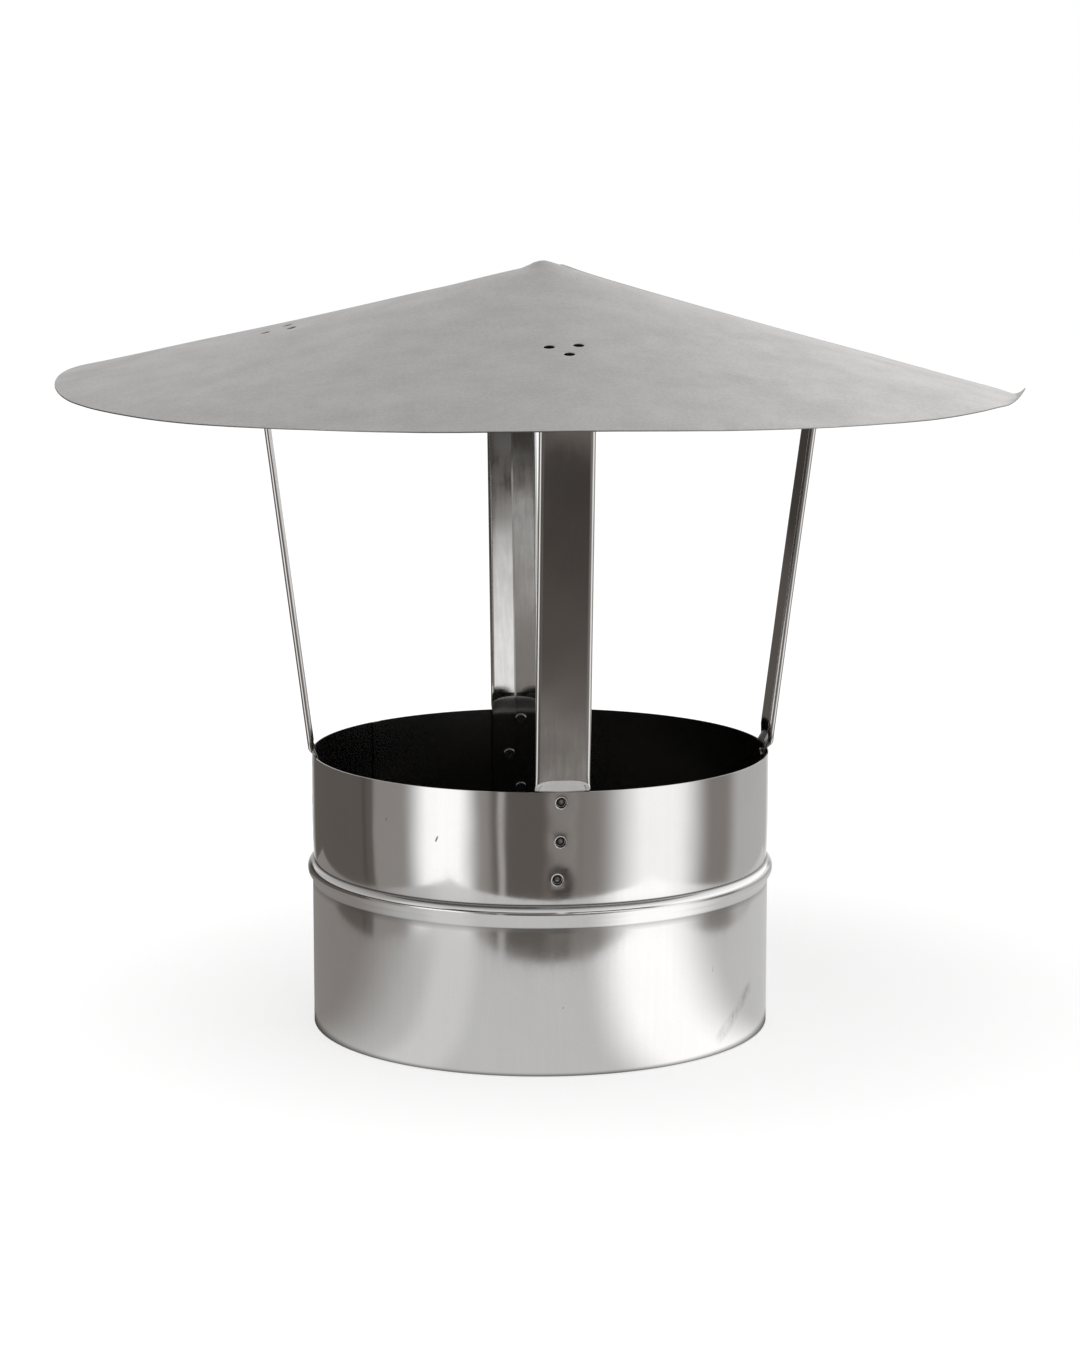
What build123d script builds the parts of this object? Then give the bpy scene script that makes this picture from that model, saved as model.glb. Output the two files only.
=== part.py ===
from build123d import *
from math import atan2, cos, degrees, hypot, radians, sin, tan
import os

# Chimney rain cap. A collar tube plugs into the flue pipe, four folded strips stand in
# the collar, and a conical hat lies on the strips. Everything is thin sheet, and each
# joint is clinched: the outer sheet is punched into a cup that sits inside a cup of
# the strip behind it. Millimetres, origin at the centre of the collar's lower rim, +Z
# up the flue. The strips stand at the front (-Y), right (+X), back and left.

# Sheet, the same for every piece
sheet = 0.5

# Collar tube: the spigot below the stop bead, the bead's flanks and the neck over it
collar_radius = 100.0
spigot_length = 61.5
lower_flank = 6.5
upper_flank = 4.8
crown_rise = 2.2
neck_depth = 0.3
neck_length = 4.7
seam_azimuth = 133.7
seam_width = 5.0
seam_depth = 1.2

# Hat: the eave's height is that of the underside over the collar's upper rim
hat_radius = 207.5
eave_rise = 157.7
hat_slope = 14.7
nub_radius = 8.5
nub_flat = 1.5
nub_rise = 0.75
nub_sink = 0.12
lap_azimuth = 6.2
lap_ramp = 4.0
lap_feather = 0.03

# Leg strips: the width over the folds, and the height of the open folds
leg_width = 23.0
leg_lean = 7.1
leg_stand_out = 1.4
fold_height = 3.0
fold_slot = 1.0
fold_pinch = 0.05
flap_bond = 2.0
foot_flare = 6.5
foot_end = 6.0
top_flare = 12.0
tab_bend = 1.5
tab_end = 7.8

# Seats: a foot lies against the collar's inner wall, and a flat tab under the hat
# needs more room because the hat is curved across it
foot_gap = 0.15
tab_gap = 0.3

# Clinched joints: the dimple, the cup round it and the button that shows inside
clinch_radius = 2.2
cup_wall = 0.2
cup_floor = 0.3
nest_gap = 0.1
button_wall = 0.25
button_proud = 1.0

# The clinches in a foot: drops below the collar's rim, and how far each one wanders
# along the rim
foot_drops = (4.5, 21.0, 37.0)
foot_wander = {
    "leg_right": (0.0, 0.0, 0.0),
    "leg_back": (-3.2, 2.6, -3.4),
    "leg_left": (0.0, 0.0, 0.0),
    "leg_front": (-0.4, -0.7, -2.0),
}

# The clinches in a tab: places sideways, and set back towards the flue from its bend
tab_clinches = ((-6.4, 15.2), (5.6, 16.7), (0.8, 5.7))

leg_azimuth = {"leg_right": 0.0, "leg_back": 90.0, "leg_left": 180.0, "leg_front": 270.0}

# Sizes that several pieces share. The collar reaches from the bead up over the feet.
lean = radians(leg_lean)
dip = radians(hat_slope)
foot_depth = max(foot_drops) + foot_end
collar_height = spigot_length + lower_flank + upper_flank + neck_length + foot_depth
hat_thickness = sheet / cos(dip)
eave_height = collar_height + eave_rise
cup_radius = clinch_radius + cup_wall
nest_radius = cup_radius + nest_gap
button_radius = nest_radius + button_wall
clear_of_sheet = 4 * sheet


def upright(azimuth):
    """Plane through the flue axis, local x outward at the azimuth and local y up."""
    turn = radians(azimuth)
    return Plane(origin=(0, 0, 0), x_dir=(cos(turn), sin(turn), 0), z_dir=(sin(turn), -cos(turn), 0))


def hat_top(radius):
    """Height of the plain outer cone at a distance from the axis."""
    return eave_height + hat_thickness + (hat_radius - radius) * tan(dip)


def on_face(height):
    """Point on the leaning outer face of the strip that stands at the right."""
    return Vector(collar_radius + leg_stand_out + (height - collar_height) * tan(lean), 0, height)


def button_depth(gap):
    """Depth of a button's far face below the outer sheet, over a seat with a gap."""
    return sheet + gap + 2 * sheet + button_proud


def cup_depth(gap):
    """Depth of the outer sheet's own cup, which stops short of the button's floor."""
    return button_depth(gap) - button_wall - nest_gap


# The strip's outer face meets the top of its tab at a sharp corner, before the bend
tab_top_at_axis = hat_top(0) - (sheet + tab_gap) / cos(dip)
rise_to_tab = tab_top_at_axis - tan(dip) * on_face(collar_height).X - collar_height
tab_corner = on_face(collar_height + rise_to_tab / (1 + tan(dip) * tan(lean)))


def collar_clinch(azimuth, drop, sideways):
    """Plane on the collar's outer wall, facing the flue axis."""
    turn = radians(azimuth) + sideways / collar_radius
    spot = (collar_radius * cos(turn), collar_radius * sin(turn), collar_height - drop)
    return Plane(origin=spot, x_dir=(-sin(turn), cos(turn), 0), z_dir=(-cos(turn), -sin(turn), 0))


def hat_clinch(azimuth, sideways, setback):
    """Plane on the hat's outer cone, facing down through the sheet."""
    reach = hypot(tab_corner.X - setback, sideways)
    turn = radians(azimuth) + atan2(sideways, tab_corner.X - setback)
    spot = (reach * cos(turn), reach * sin(turn), hat_top(reach))
    down = (-sin(dip) * cos(turn), -sin(dip) * sin(turn), -cos(dip))
    return Plane(origin=spot, x_dir=(-sin(turn), cos(turn), 0), z_dir=down)


collar_clinches = [
    collar_clinch(azimuth, drop, sideways)
    for name, azimuth in leg_azimuth.items()
    for drop, sideways in zip(foot_drops, foot_wander[name])
]
hat_clinches = [
    hat_clinch(azimuth, sideways, setback)
    for azimuth in leg_azimuth.values()
    for sideways, setback in tab_clinches
]

# Collar tube. Its stop bead has a round lower flank, a full crown and a sharp crease on
# top, and the wall above necks in a little towards the crease, from where the feet end.
flank_foot = (collar_radius, spigot_length)
crown = (collar_radius + crown_rise, spigot_length + lower_flank)
flank_middle = ((flank_foot[0] + crown[0]) / 2, (flank_foot[1] + crown[1]) / 2)
crease = (collar_radius - neck_depth, crown[1] + upper_flank)
neck_end = (collar_radius, crease[1] + neck_length)


def wall_lines(thickness):
    """Closed outline of the wall, from its outer line inward by a thickness."""
    Line((collar_radius, 0), flank_foot)
    flank_start = TangentArc(flank_foot, flank_middle, tangent=(0, 1))
    flank_end = TangentArc(flank_middle, crown, tangent=flank_start % 1)
    TangentArc(crown, crease, tangent=flank_end % 1)
    Line(crease, neck_end)
    Line(neck_end, (collar_radius, collar_height))
    offset(amount=thickness, side=Side.LEFT)


with BuildPart() as collar_tube:
    with BuildSketch(upright(0)):
        with BuildLine():
            wall_lines(sheet)
        make_face()
    revolve(axis=Axis.Z)

    # Lock seam: the folded edges lie flat on the inside, over the bead as well
    seam_angle = degrees(seam_width / collar_radius)
    with BuildSketch(upright(seam_azimuth - seam_angle / 2)):
        with BuildLine():
            wall_lines(seam_depth)
        make_face()
    revolve(axis=Axis.Z, revolution_arc=seam_angle)

    # Clinches: each cup first, then the dimple in it
    with BuildSketch(*[spot.offset(sheet / 2) for spot in collar_clinches]):
        Circle(cup_radius)
    extrude(amount=cup_depth(foot_gap) - sheet / 2)
    with BuildSketch(*[spot.offset(-clear_of_sheet) for spot in collar_clinches]):
        Circle(clinch_radius)
    extrude(amount=clear_of_sheet + cup_depth(foot_gap) - cup_floor, mode=Mode.SUBTRACT)
collar_tube.part.label = "collar_tube"

# Hat: one disc, slit once and lapped over itself, so the lap is as wide as the cone
# needs. The middle is pressed into a small round nub that closes the slit's end.
lap_angle = 360 / cos(dip) - 360
lap_start = lap_azimuth - lap_angle
nub_top = hat_top(0) - nub_sink
nub_middle = (nub_radius + nub_flat) / 2


def hat_line(drop):
    """Generator of the hat, from the eave to the axis, lowered by a drop."""
    shoulder = (nub_radius, hat_top(nub_radius) - drop)
    Line((hat_radius, hat_top(hat_radius) - drop), shoulder)
    round_point = (nub_middle, hat_top(nub_middle) + nub_rise - drop)
    ThreePointArc(shoulder, round_point, (nub_flat, nub_top - drop))
    Line((nub_flat, nub_top - drop), (0, nub_top - drop))


def lap_section(azimuth, rise):
    """Section of the lapped sheet at an azimuth, up from the middle of the one below."""
    below = hat_thickness / 2
    with BuildSketch(upright(azimuth)) as section:
        with BuildLine():
            Polyline(
                (hat_radius, hat_top(hat_radius) - below),
                (hat_radius, hat_top(hat_radius) + rise),
                (nub_radius, hat_top(nub_radius) + rise),
                (nub_radius, hat_top(nub_radius) - below),
                close=True,
            )
        make_face()
    return section.sketch


with BuildPart() as rain_hat:
    with BuildSketch(upright(0)):
        with BuildLine():
            hat_line(0)
            Line((0, nub_top), (0, nub_top - hat_thickness))
            hat_line(hat_thickness)
            Line((hat_radius, eave_height), (hat_radius, eave_height + hat_thickness))
        make_face()
    revolve(axis=Axis.Z)

    # The lap: a second thickness with a ramp in front and a raw edge behind
    revolve(lap_section(lap_start, hat_thickness), axis=Axis.Z, revolution_arc=lap_angle)
    ramp_foot = lap_section(lap_start - lap_ramp, lap_feather)
    loft(sections=[lap_section(lap_start, hat_thickness), ramp_foot])

    # Clinches: each cup first, then the dimple in it
    with BuildSketch(*[spot.offset(sheet / 2) for spot in hat_clinches]):
        Circle(cup_radius)
    extrude(amount=cup_depth(tab_gap) - sheet / 2)
    with BuildSketch(*[spot.offset(-clear_of_sheet) for spot in hat_clinches]):
        Circle(clinch_radius)
    extrude(amount=clear_of_sheet + cup_depth(tab_gap) - cup_floor, mode=Mode.SUBTRACT)
rain_hat.part.label = "rain_hat"


# Leg strips. A section is drawn across the strip, sideways by depth from the outer
# face. In the collar it is bowed to the wall, and everywhere else it is straight.
def across(sideways, depth, bow):
    """Point of a section, wrapped on to a wall of radius bow where there is one."""
    if bow is None:
        return (sideways, depth)
    turn = sideways / bow
    return ((bow - depth) * sin(turn), bow - (bow - depth) * cos(turn))


def strip_edge(start, end, bow):
    """Edge between two points of a section, an arc where it runs along a bowed wall."""
    if bow is None or start[0] == end[0]:
        Line(across(*start, bow), across(*end, bow))
    else:
        middle = ((start[0] + end[0]) / 2, (start[1] + end[1]) / 2)
        ThreePointArc(across(*start, bow), across(*middle, bow), across(*end, bow))


def strip_section(plane, fold_radius, bow=None):
    """Outline of a strip: a web with both edges folded round on to its inner face."""
    edge = leg_width / 2
    fold_start = edge - fold_radius
    lip = fold_slot / 2
    with BuildSketch(plane) as section:
        with BuildLine():
            strip_edge((-fold_start, 0), (fold_start, 0), bow)
            for side in (1, -1):
                outer = across(side * fold_start, 0, bow)
                turn_point = across(side * edge, fold_radius, bow)
                ThreePointArc(outer, turn_point, across(side * fold_start, 2 * fold_radius, bow))
                strip_edge((side * fold_start, 2 * fold_radius), (side * lip, 2 * sheet), bow)
                strip_edge((side * lip, 2 * sheet), (side * lip, sheet), bow)
            strip_edge((-lip, sheet), (lip, sheet), bow)
        make_face()
    return section.sketch


def fold_hollow(plane, fold_radius, side, bow=None):
    """Outline of the drop-shaped hollow inside one folded edge."""
    fold_start = leg_width / 2 - fold_radius
    top = 2 * fold_radius - sheet
    slope = (2 * fold_radius - 2 * sheet) / (fold_start - fold_slot / 2)
    bond = fold_slot / 2 + flap_bond
    bond_top = top - slope * (fold_start - bond)
    with BuildSketch(plane) as hollow:
        with BuildLine():
            strip_edge((side * bond, sheet), (side * fold_start, sheet), bow)
            outer = across(side * fold_start, sheet, bow)
            turn_point = across(side * (leg_width / 2 - sheet), fold_radius, bow)
            ThreePointArc(outer, turn_point, across(side * fold_start, top, bow))
            strip_edge((side * fold_start, top), (side * bond, bond_top), bow)
            strip_edge((side * bond, bond_top), (side * bond, sheet), bow)
        make_face()
    return hollow.sketch


# Stations along the strip at the right: the foot, the rim, the open folds and the bend
open_fold = fold_height / 2
flat_fold = sheet
pinched_fold = sheet + fold_pinch
seat_radius = collar_radius - sheet - foot_gap
along_width = (0, 1, 0)
up_strip = Vector(sin(lean), 0, cos(lean))
into_strip = Vector(-cos(lean), 0, sin(lean))
up_tab = Vector(-cos(dip), 0, sin(dip))
bend_angle = 90 + leg_lean - hat_slope
bend_radius = tab_bend + 2 * sheet
bend_reach = bend_radius * tan(radians(bend_angle) / 2)
bend_start = tab_corner - up_strip * bend_reach
bend_end = tab_corner + up_tab * bend_reach
tab_length = max(setback for sideways, setback in tab_clinches) + tab_end
folds_open = on_face(collar_height + foot_flare)
run_length = (bend_start - folds_open).length - top_flare
folds_close = folds_open + up_strip * run_length

foot_plane = Plane(origin=(seat_radius, 0, collar_height - foot_depth), x_dir=along_width, z_dir=(0, 0, 1))
rim_plane = Plane(origin=(seat_radius, 0, collar_height), x_dir=along_width, z_dir=(0, 0, 1))
open_plane = Plane(origin=folds_open, x_dir=along_width, z_dir=up_strip)
close_plane = Plane(origin=folds_close, x_dir=along_width, z_dir=up_strip)
bend_plane = Plane(origin=bend_start, x_dir=along_width, z_dir=up_strip)
tab_plane = Plane(origin=bend_end, x_dir=along_width, z_dir=up_tab)
bend_axis = Axis(origin=bend_start + into_strip * bend_radius, direction=(0, -1, 0))


def make_leg(name, azimuth):
    """One strip with the clinches that hold it, turned to its own azimuth."""
    foot_spots = [collar_clinch(0, drop, aside) for drop, aside in zip(foot_drops, foot_wander[name])]
    tab_spots = [hat_clinch(0, aside, setback) for aside, setback in tab_clinches]

    with BuildPart() as leg:
        extrude(strip_section(foot_plane, flat_fold, seat_radius), amount=foot_depth)
        rim_section = strip_section(rim_plane, flat_fold, seat_radius)
        loft(sections=[rim_section, strip_section(open_plane, open_fold)])
        extrude(strip_section(open_plane, open_fold), amount=run_length)
        loft(sections=[strip_section(close_plane, open_fold), strip_section(bend_plane, flat_fold)])
        revolve(strip_section(bend_plane, flat_fold), axis=bend_axis, revolution_arc=bend_angle)
        extrude(strip_section(tab_plane, flat_fold), amount=tab_length - bend_reach)

        # The folds are hollow from the rim to the bend, and pinched at both ends
        for side in (1, -1):
            rim_hollow = fold_hollow(rim_plane, pinched_fold, side, seat_radius)
            open_hollow = fold_hollow(open_plane, open_fold, side)
            close_hollow = fold_hollow(close_plane, open_fold, side)
            bend_hollow = fold_hollow(bend_plane, pinched_fold, side)
            loft(sections=[rim_hollow, open_hollow], mode=Mode.SUBTRACT)
            extrude(open_hollow, amount=run_length, mode=Mode.SUBTRACT)
            loft(sections=[close_hollow, bend_hollow], mode=Mode.SUBTRACT)

        # Buttons: each one first, then the nest for the outer sheet's cup
        for spots, gap in ((foot_spots, foot_gap), (tab_spots, tab_gap)):
            strip_middle = sheet + gap + sheet
            with BuildSketch(*[spot.offset(strip_middle) for spot in spots]):
                Circle(button_radius)
            extrude(amount=button_depth(gap) - strip_middle)
            with BuildSketch(*spots):
                Circle(nest_radius)
            extrude(amount=cup_depth(gap) + nest_gap, mode=Mode.SUBTRACT)
    return leg.part.rotate(Axis.Z, azimuth)


os.makedirs("parts", exist_ok=True)
export_step(collar_tube.part, "parts/collar_tube.step")
export_step(rain_hat.part, "parts/rain_hat.step")
for name, azimuth in leg_azimuth.items():
    leg_part = make_leg(name, azimuth)
    leg_part.label = name
    export_step(leg_part, "parts/" + name + ".step")

print("collar", round(collar_height, 1), "mm high, bead crown", round(crown[1], 1), "mm up")
print("hat lap", round(lap_angle, 2), "degrees, top", round(nub_top, 1), "mm up")
print("tab corner", round(tab_corner.X, 1), "mm out,", round(tab_corner.Z, 1), "mm up")
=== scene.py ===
from math import atan2, cos, degrees, hypot, pi, radians, sin, tan
import bpy
import numpy as np
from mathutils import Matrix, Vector


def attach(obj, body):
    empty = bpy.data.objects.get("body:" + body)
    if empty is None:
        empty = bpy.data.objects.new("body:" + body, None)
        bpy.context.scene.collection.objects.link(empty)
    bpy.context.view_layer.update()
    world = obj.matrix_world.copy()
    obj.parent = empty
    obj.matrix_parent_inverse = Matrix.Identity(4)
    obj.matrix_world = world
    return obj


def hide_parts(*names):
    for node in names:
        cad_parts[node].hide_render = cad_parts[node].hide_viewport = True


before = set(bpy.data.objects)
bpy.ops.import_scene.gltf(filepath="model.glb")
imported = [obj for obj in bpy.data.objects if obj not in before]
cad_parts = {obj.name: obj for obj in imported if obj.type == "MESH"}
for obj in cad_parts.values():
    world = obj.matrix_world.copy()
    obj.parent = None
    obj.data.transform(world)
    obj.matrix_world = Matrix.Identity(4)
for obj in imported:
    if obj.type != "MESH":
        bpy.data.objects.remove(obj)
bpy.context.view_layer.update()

# Chimney rain cap in bright stainless sheet. Sizes below are millimetres, Blender's are metres.
mm = 0.001
scene = bpy.context.scene
scene.view_settings.view_transform = "Standard"

cameraSizes = {
    "place": (-140.6, -1515.7, 406.6),
    "heading": -5.3,
    "lookDown": 9.463,
    "lens": 94.09,
    "sensor": 36.0,
    "farthest": 50.0,
}
camera = bpy.data.objects.new("camera", bpy.data.cameras.new("camera"))
camera.location = Vector(cameraSizes["place"]) * mm
camera.rotation_euler = (radians(90 - cameraSizes["lookDown"]), 0, radians(cameraSizes["heading"]))
camera.data.lens = cameraSizes["lens"]
camera.data.sensor_width = cameraSizes["sensor"]
camera.data.clip_end = cameraSizes["farthest"]
scene.collection.objects.link(camera)
scene.camera = camera
print("camera set")


# Sheet metal in mesh code
def smoothStep(low, high, value):
    t = np.clip((value - low) / (high - low), 0, 1)
    return t * t * (3 - 2 * t)


def ripple(x, y, size, seed):
    # A soft, repeatable unevenness between about -1 and 1, as wide as size
    total = 0
    for k in range(5):
        turn = seed * 1.7 + k * 2.4
        pace = (0.7 + 0.23 * k) * 2 * pi / size
        total = total + np.sin(pace * (x * cos(turn) + y * sin(turn)) + seed * 3.1 + k * 1.9)
    return total / 3


def spread(marks, step):
    # Fills the gaps between runs of given positions with steps of about one size
    line = [float(marks[0][0])]
    for run in marks:
        gap = run[0] - line[-1]
        if gap > 1e-9:
            count = max(1, round(gap / step))
            line += [line[-1] + gap * (k + 1) / count for k in range(count)]
        line += [float(value) for value in run[1:]]
    return np.array(line)


def thickSheet(outer, inner, faces, openEnds=()):
    # Closes a sheet: its outer faces, its inner ones turned over, and a wall on each free edge that
    # isn't at an open end. Also gives the numbers of the points in use.
    used = np.unique([i for face in faces for i in face])
    order = np.full(len(outer), -1)
    order[used] = np.arange(len(used))
    openEnds = {int(order[i]) for i in openEnds if order[i] >= 0}
    faces = [tuple(int(order[i]) for i in face) for face in faces]
    count = len(used)
    edges = {edge for face in faces for edge in zip(face, face[1:] + face[:1])}
    walls = [
        (b, a, a + count, b + count)
        for a, b in sorted(edges)
        if (b, a) not in edges and not (a in openEnds and b in openEnds)
    ]
    turned = [tuple(i + count for i in reversed(face)) for face in faces]
    return np.concatenate([outer[used], inner[used]]), faces + turned + walls, used


def gridFaces(across, along, skipped=lambda i, j: False):
    cells = [(i, j) for i in range(across - 1) for j in range(along - 1) if not skipped(i, j)]
    return [(a, a + along, a + along + 1, a + 1) for a in (i * along + j for i, j in cells)]


def ringFaces(count, rings, first=0):
    # Round a tube of rings with count points each
    return [
        (a + k, a + (k + 1) % count, a + count + (k + 1) % count, a + count + k)
        for a in range(first, first + (rings - 1) * count, count) for k in range(count)
    ]


def clinchedSheet(columns, rows, punches, cells, toLocal, fromLocal, skipped=lambda i, j: False):
    # A grid over the sheet in which each punch has a patch of rings in place of its cells. Gives each
    # point's places on the front and back, its two depths and its punch's number or -1, and the faces.
    across, along = len(columns), len(rows)
    p, q = [grid.ravel() for grid in np.meshgrid(columns, rows, indexing="ij")]
    front, back = [np.stack([p, q], 1)], [np.stack([p, q], 1)]
    depths, owner, faces, cut = [np.zeros((len(p), 2))], [np.full(len(p), -1)], [], set()
    total, count = len(p), 4 * cells
    pairs, steps = [(k, (k + 1) % count) for k in range(count)], range(cells)
    for number, (pc, qc, rings) in enumerate(punches):
        x = toLocal(columns, np.full(across, qc), pc, qc)[0]
        y = toLocal(np.full(along, pc), rows, pc, qc)[1]
        i0, j0 = [int(np.argmin(np.maximum(abs(line[:-cells]), abs(line[cells:])))) for line in (x, y)]
        cut |= {(i0 + i, j0 + j) for i in steps for j in steps}
        loop = [(i0 + k, j0) for k in steps] + [(i0 + cells, j0 + k) for k in steps]
        loop += [(i0 + cells - k, j0 + cells) for k in steps] + [(i0, j0 + cells - k) for k in steps]
        ids = [i * along + j for i, j in loop]
        lx, ly = toLocal(p[ids], q[ids], pc, qc)
        turn = np.tile(np.arctan2(ly, lx), len(rings))
        sizes = np.repeat(rings, count, 0)
        for side, reach in ((front, sizes[:, 0]), (back, sizes[:, 2])):
            side += [np.stack(fromLocal(reach * np.cos(turn), reach * np.sin(turn), pc, qc), 1), [[pc, qc]]]
        depths += [sizes[:, 1::2], [rings[-1][1::2]]]
        owner.append(np.full(len(sizes) + 1, number))
        # The first ring joins the edge of the patch, and one point closes the last ring
        faces += [(ids[a], ids[b], total + b, total + a) for a, b in pairs]
        faces += ringFaces(count, len(rings), total)
        middle = total + len(sizes)
        faces += [(middle - count + a, middle - count + b, middle) for a, b in pairs]
        total = middle + 1
    faces += gridFaces(across, along, lambda i, j: (i, j) in cut or skipped(i, j))
    return *[np.concatenate(parts) for parts in (front, back, depths, owner)], faces


def clinchRings(depth):
    # A dimple with a rolled mouth, straight walls and a coined floor, and the cup behind it: the reach and
    # depth of each ring in front, and behind
    front = [
        (3.1, 0), (2.75, 0.01), (2.5, 0.035), (2.36, 0.085), (2.27, 0.17), (2.22, 0.32), (2.18, 0.9),
        (2.12, depth - 0.4), (2.02, depth - 0.13), (1.82, depth), (1.2, depth - 0.01), (0.6, depth - 0.12),
    ]
    cup = depth - 0.2
    back = [
        (3.1, 0), (3.0, 0.01), (2.85, 0.05), (2.68, 0.15), (2.52, 0.32), (2.43, 0.6), (2.4, 0.9),
        (2.39, cup - 0.4), (2.33, cup - 0.13), (2.15, cup), (1.4, cup), (0.7, cup),
    ]
    return [(*outer, *inner) for outer, inner in zip(front, back)]


def punchShade(depth, floor):
    # Painted shade down a punch's wall, and less on its coined floor, which is brighter again
    return smoothStep(0.1, 0.4, depth) * np.where(abs(depth - floor + 0.12) < 0.05, 0.45, 1)


def addValues(mesh, name, values):
    mesh.attributes.new(name, "FLOAT", "POINT").data.foreach_set("value", values)


def shadeSheet(mesh):
    mesh.shade_smooth()
    mesh.set_sharp_from_angle(angle=radians(finishSizes["sharpFrom"]))


def newPiece(name, points, faces, material):
    mesh = bpy.data.meshes.new(name)
    mesh.from_pydata((np.array(points) * mm).tolist(), [], faces)
    mesh.materials.append(material)
    piece = bpy.data.objects.new(name, mesh)
    scene.collection.objects.link(piece)
    return piece


def bakeTree(piece, tree, values):
    # Runs a Geometry Nodes tree on a piece, then keeps the result as its plain mesh
    modifier = piece.modifiers.new(tree.name, "NODES")
    modifier.node_group = tree
    sockets = {item.name: item.identifier for item in tree.interface.items_tree if item.in_out == "INPUT"}
    for name, value in values.items():
        modifier[sockets[name]] = value
    bpy.context.view_layer.update()
    made = piece.evaluated_get(bpy.context.evaluated_depsgraph_get())
    mesh = bpy.data.meshes.new_from_object(made)
    piece.modifiers.remove(modifier)
    old = piece.data
    piece.data = mesh
    bpy.data.meshes.remove(old)
    mesh.name = piece.name


def feed(tree, socket, value):
    # A socket takes a value, another node's output or a list of outputs
    if isinstance(value, list):
        for item in value:
            tree.links.new(item, socket)
    elif hasattr(value, "is_output"):
        tree.links.new(value, socket)
    else:
        socket.default_value = value


def addNode(tree, kind, inputs=(), **settings):
    node = tree.nodes.new(kind)
    for key, value in settings.items():
        setattr(node, key, value)
    for key, value in dict(inputs).items():
        feed(tree, node.inputs[key], value)
    return node


def newTree(name, inputs):
    tree = bpy.data.node_groups.new(name, "GeometryNodeTree")
    for label, kind in [("Geometry", "Geometry"), *inputs]:
        tree.interface.new_socket(label, in_out="INPUT", socket_type="NodeSocket" + kind)
    tree.interface.new_socket("Geometry", in_out="OUTPUT", socket_type="NodeSocketGeometry")
    start, end = tree.nodes.new("NodeGroupInput"), tree.nodes.new("NodeGroupOutput")

    def add(kind, inputs=(), output=0, **settings):
        return addNode(tree, kind, inputs, **settings).outputs[output]

    def combine(operation, a, b=0.0):
        return add("ShaderNodeMath", {0: a, 1: b}, operation=operation)

    def close(geometry):
        real = add("GeometryNodeRealizeInstances", {"Geometry": geometry})
        coated = add("GeometryNodeSetMaterial", {"Geometry": real, "Material": start.outputs["Finish"]})
        tree.links.new(coated, end.inputs["Geometry"])
        return tree

    return tree, start.outputs, add, combine, close


def setRange(tree, value, low, high, start, end, kind="LINEAR"):
    # Takes a value from one range into another
    inputs = {"Value": value, "From Min": low, "From Max": high, "To Min": start, "To Max": end}
    return addNode(tree, "ShaderNodeMapRange", inputs, interpolation_type=kind).outputs["Result"]


def mixTwo(tree, kind, factor, first, second):
    node = addNode(tree, "ShaderNodeMix", data_type=kind)
    for name, value in (("Factor", factor), ("A", first), ("B", second)):
        feed(tree, [item for item in node.inputs if item.enabled and item.name == name][0], value)
    return [item for item in node.outputs if item.enabled][0]


# Finishes: steel with fine wear on Object coordinates, which a piece's painted shade values make dark
finishSizes = {
    "hatTints": ((0.57, 0.558, 0.55), (0.69, 0.678, 0.668)),
    "hatRoughness": (0.46, 0.37),
    "tubeTints": ((0.815, 0.808, 0.795), (0.765, 0.758, 0.745)),
    "tubeRoughness": (0.07, 0.12),
    "stripTints": ((0.75, 0.742, 0.728), (0.64, 0.63, 0.615)),
    "stripRoughness": (0.05, 0.11),
    # The tint and roughness of painted shade and of stains
    "shadeAndStainTint": (0.07, 0.066, 0.062),
    "shadeAndStainRoughness": 0.26,
    "sharpFrom": 32,
    "markRadius": 100,
}
# Marks on the tube: azimuth and height at both ends, reach to each side, and how dark
tubeMarks = [
    ((-31, 24), (-45, 7), 4.2, 0.17), ((-31, 25), (-34, 20), 1.3, 0.14), ((-39, 17), (-40, 12), 1.0, 0.16),
    ((-120.4, 100), (-120.9, 98), 0.6, 0.75), ((-135.2, 105), (-135.4, 104), 0.5, 0.6),
    ((-89.7, 29.6), (-89.8, 29), 0.35, 0.6), ((-48, 39), (-48.3, 37), 0.5, 0.25),
]


def newMaterial(name):
    material = bpy.data.materials.new(name)
    material.use_nodes = True
    return material, material.node_tree


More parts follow.
